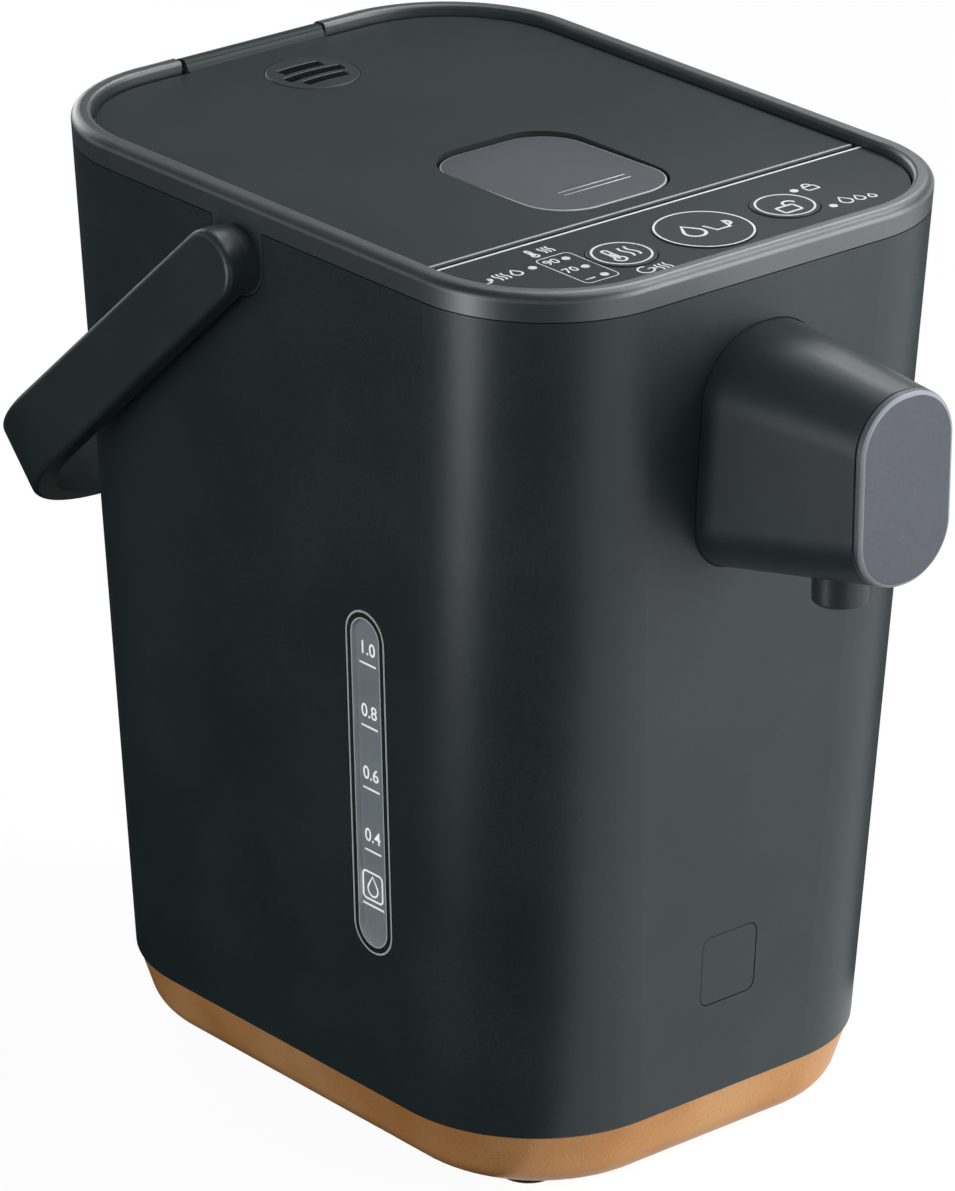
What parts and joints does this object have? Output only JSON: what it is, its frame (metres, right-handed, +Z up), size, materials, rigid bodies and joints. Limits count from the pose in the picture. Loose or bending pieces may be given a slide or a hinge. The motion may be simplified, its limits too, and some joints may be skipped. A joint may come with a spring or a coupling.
{
  "type": "electric thermo pot",
  "caption": "Electric thermo pot with hinged lid and press lever, touch-height control keys, front spout, water gauge, swinging carry handle and pump",
  "frame": {"origin": "on the table under the middle of the body, in the plane of the feet", "axes": "+Z up, -Y towards the spout, +X to the right seen from the front; the water gauge is on the -X side"},
  "size_m": [0.1726, 0.2653, 0.248],
  "materials": {
    "shell": "fine satin charcoal paint",
    "base": "fine metallic copper paint",
    "trim": "satin charcoal",
    "top_plate": "semi-gloss dark grey",
    "lever": "satin bluish grey",
    "spout_face": "satin grey",
    "inner_plastic": "moulded dark plastic",
    "steel": "drawn stainless steel",
    "aluminium": "cast aluminium",
    "brass": "plain brass",
    "silicone": "translucent white silicone",
    "rubber": "soft black rubber",
    "felt": "needled white felt",
    "board": "green circuit board",
    "clear": "clear plastic",
    "pale_plastic": "pale grey moulded plastic"
  },
  "bodies": {
    "pot": {"outer_shell": "shell", "base_ring": "base", "bottom_plate": "inner_plastic", "rubber_feet": "rubber", "bottom_screws": "steel", "shoulder_ring": "trim", "mouth_ring": "inner_plastic", "inner_tank": "steel", "tank_seal": "silicone", "insulation_sleeve": "felt", "tank_stand": "inner_plastic", "heater_plate": "aluminium", "heater_strap": "steel", "thermostat": "inner_plastic", "thermal_fuse": "aluminium", "pump_housing": "inner_plastic", "pump_motor": "steel", "suction_hose": "silicone", "riser_hose": "silicone", "level_tube": "clear", "delivery_hose": "silicone", "spout_housing": "trim", "spout_face": "spout_face", "spout_nozzle": "trim", "spout_pipe": "inner_plastic", "gauge_bezel": "trim", "gauge_window": "clear", "gauge_backing": "pale_plastic", "badge_plate": "shell", "control_panel": "top_plate", "control_board": "board", "tact_switches": "inner_plastic", "led_lenses": "clear", "hinge_pin": "steel", "power_board": "board", "inlet_socket": "inner_plastic", "inlet_pins": "brass", "inlet_plate": "steel"},
    "lid": {"lid_cover": "top_plate", "lid_body": "inner_plastic", "lid_screws": "steel", "inner_lid": "steel", "lid_gasket": "silicone", "steam_vent_cap": "top_plate", "steam_duct": "inner_plastic", "steam_valve_ball": "steel", "lever_pin": "steel", "latch_spring": "steel"},
    "lever": {"lid_lever": "lever"},
    "latch": {"lid_latch": "inner_plastic"},
    "carry_handle": {"handle": "trim", "handle_pins": "steel"},
    "keep_warm_key": {"keep_warm_button": "top_plate"},
    "dispense_key": {"dispense_button": "top_plate"},
    "unlock_key": {"unlock_button": "top_plate"},
    "impeller": {"pump_impeller": "inner_plastic"}
  },
  "joints": [
    {"name": "lid_hinge", "type": "hinge", "parent": "pot", "child": "lid", "pos_m": [0, 0.0974, 0.2446], "axis": [-1, 0, 0], "range_deg": [0, 85]},
    {"name": "lever_pivot", "type": "hinge", "parent": "lid", "child": "lever", "pos_m": [0, -0.018, 0.2404], "axis": [1, 0, 0], "range_deg": [0, 9], "stiffness_Nm_per_rad": 0.25},
    {"name": "latch_slide", "type": "slide", "parent": "lid", "child": "latch", "axis": [0, 1, 0], "range_m": [0, 0.002]},
    {"name": "handle_pivot", "type": "hinge", "parent": "pot", "child": "carry_handle", "pos_m": [0, 0.0079, 0.2318], "axis": [1, 0, 0], "range_deg": [0, 140]},
    {"name": "keep_warm_press", "type": "slide", "parent": "pot", "child": "keep_warm_key", "axis": [0, 0, -1], "range_m": [0, 0.001], "stiffness_N_per_m": 800},
    {"name": "dispense_press", "type": "slide", "parent": "pot", "child": "dispense_key", "axis": [0, 0, -1], "range_m": [0, 0.001], "stiffness_N_per_m": 800},
    {"name": "unlock_press", "type": "slide", "parent": "pot", "child": "unlock_key", "axis": [0, 0, -1], "range_m": [0, 0.001], "stiffness_N_per_m": 800},
    {"name": "impeller_spin", "type": "hinge", "parent": "pot", "child": "impeller", "pos_m": [0, -0.061, 0.037], "axis": [0, 0, 1], "continuous": true}
  ],
  "couplings": [
    {"joint": "latch_slide", "follows": "lever_pivot", "m_per_rad": 0.012732}
  ]
}
